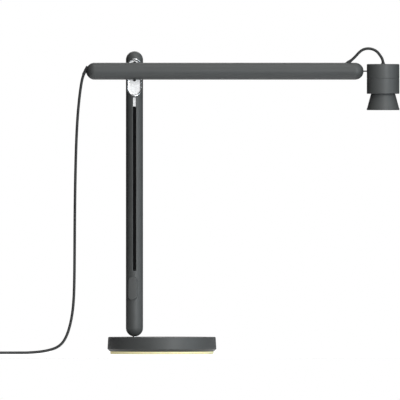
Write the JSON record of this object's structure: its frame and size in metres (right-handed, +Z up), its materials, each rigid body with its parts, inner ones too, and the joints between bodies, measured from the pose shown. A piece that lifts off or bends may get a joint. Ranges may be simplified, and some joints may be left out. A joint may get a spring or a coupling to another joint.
{
  "type": "swing arm desk lamp",
  "caption": "Slim desk lamp: round weighted base, turning column with a sprung elbow, level round arm, and a small LED head with a conical shade that rolls at the arm's tip.",
  "frame": {"origin": "centre of the foot pad's lower face, on the surface that the lamp stands on", "axes": "+Z up; +X from the column towards the head, along the level arm; -Y is the side that the arm, the slot and the button are on"},
  "size_m": [0.7409, 0.1798, 0.5061],
  "materials": {
    "powder_coat": "fine satin anthracite powder coat",
    "button_plastic": "moulded anthracite, fine satin",
    "foot_foam": "matte pale yellow foam rubber",
    "ballast_iron": "raw cast and faced",
    "polished_metal": "polished",
    "black_steel": "black oxide",
    "bright_steel": "turned",
    "bronze": "sintered bronze",
    "machined_aluminium": "machined",
    "black_plastic": "fine texture",
    "circuit_board": "white solder mask",
    "led_phosphor": "silicone gel",
    "frosted_lens": "frosted",
    "white_reflector": "satin white",
    "black_rubber": "matte",
    "cord_jacket": "satin jacket",
    "plug_brass": "nickel over brass"
  },
  "bodies": {
    "base": {"base_cover": "powder_coat", "ballast_plate": "ballast_iron", "foot_pad": "foot_foam", "base_screws": "black_steel", "swivel_bush": "bronze"},
    "column": {"swivel_spindle": "bright_steel", "swivel_washer": "bright_steel", "swivel_nut": "black_steel", "column_tube": "powder_coat", "column_crown": "powder_coat", "column_foot": "powder_coat", "pivot_cup": "polished_metal", "cup_screws": "black_steel", "nut_plate": "black_steel", "elbow_bush": "bronze", "strut_barrel": "black_steel", "strut_guide": "polished_metal", "strut_anchor": "black_steel", "anchor_screw": "black_steel", "strut_nut": "black_steel", "balance_spring": "bright_steel", "button_dome": "black_rubber", "dimmer_board": "circuit_board", "board_carrier": "black_plastic", "dimmer_lead": "cord_jacket", "power_cord": "cord_jacket", "cord_coil": "cord_jacket", "cord_tail": "cord_jacket", "adapter_relief": "black_rubber", "adapter_body": "black_plastic", "adapter_pins": "plug_brass"},
    "rod": {"strut_rod": "polished_metal", "strut_piston": "black_steel", "rod_yoke": "machined_aluminium"},
    "button": {"dimmer_button": "button_plastic"},
    "arm": {"arm_tube": "powder_coat", "arm_rear_cap": "powder_coat", "arm_front_cap": "powder_coat", "arm_core": "machined_aluminium", "elbow_hub": "machined_aluminium", "elbow_shaft": "bright_steel", "elbow_grubs": "black_steel", "power_gland": "black_rubber", "loop_gland": "black_rubber", "arm_lead": "cord_jacket", "tip_bush": "bronze"},
    "head": {"head_axle": "black_steel", "axle_collar": "bright_steel", "head_cover": "powder_coat", "head_body": "powder_coat", "heat_sink": "machined_aluminium", "led_board": "circuit_board", "led_chip": "led_phosphor", "head_lead": "cord_jacket", "head_gland": "black_rubber", "cone_shade": "powder_coat", "reflector": "white_reflector", "lens": "frosted_lens", "lens_ring": "black_plastic", "loop_cord": "cord_jacket"}
  },
  "joints": [
    {"name": "column_swivel", "type": "hinge", "parent": "base", "child": "column", "pos_m": [-0.0453, 0, 0.028], "axis": [0, 0, 1], "range_deg": [-120, 120]},
    {"name": "elbow", "type": "hinge", "parent": "column", "child": "arm", "pos_m": [-0.0453, -0.03055, 0.4666], "axis": [0, -1, 0], "range_deg": [-50, 50], "deforming": ["power_cord"]},
    {"name": "rod_slide", "type": "slide", "parent": "column", "child": "rod", "axis": [0, 0, 1], "range_m": [-0.0065, 0.0065], "deforming": ["balance_spring"]},
    {"name": "dimmer_press", "type": "slide", "parent": "column", "child": "button", "axis": [0.225, 0.9744, 0], "range_m": [0, 0.0012], "stiffness_N_per_m": 1800, "deforming": ["button_dome"]},
    {"name": "head_roll", "type": "hinge", "parent": "arm", "child": "head", "pos_m": [0.3649, -0.03055, 0.4666], "axis": [1, 0, 0], "range_deg": [-90, 90], "deforming": ["loop_cord"]}
  ],
  "couplings": [
    {"joint": "rod_slide", "follows": "elbow", "m_per_rad": -0.0068}
  ]
}
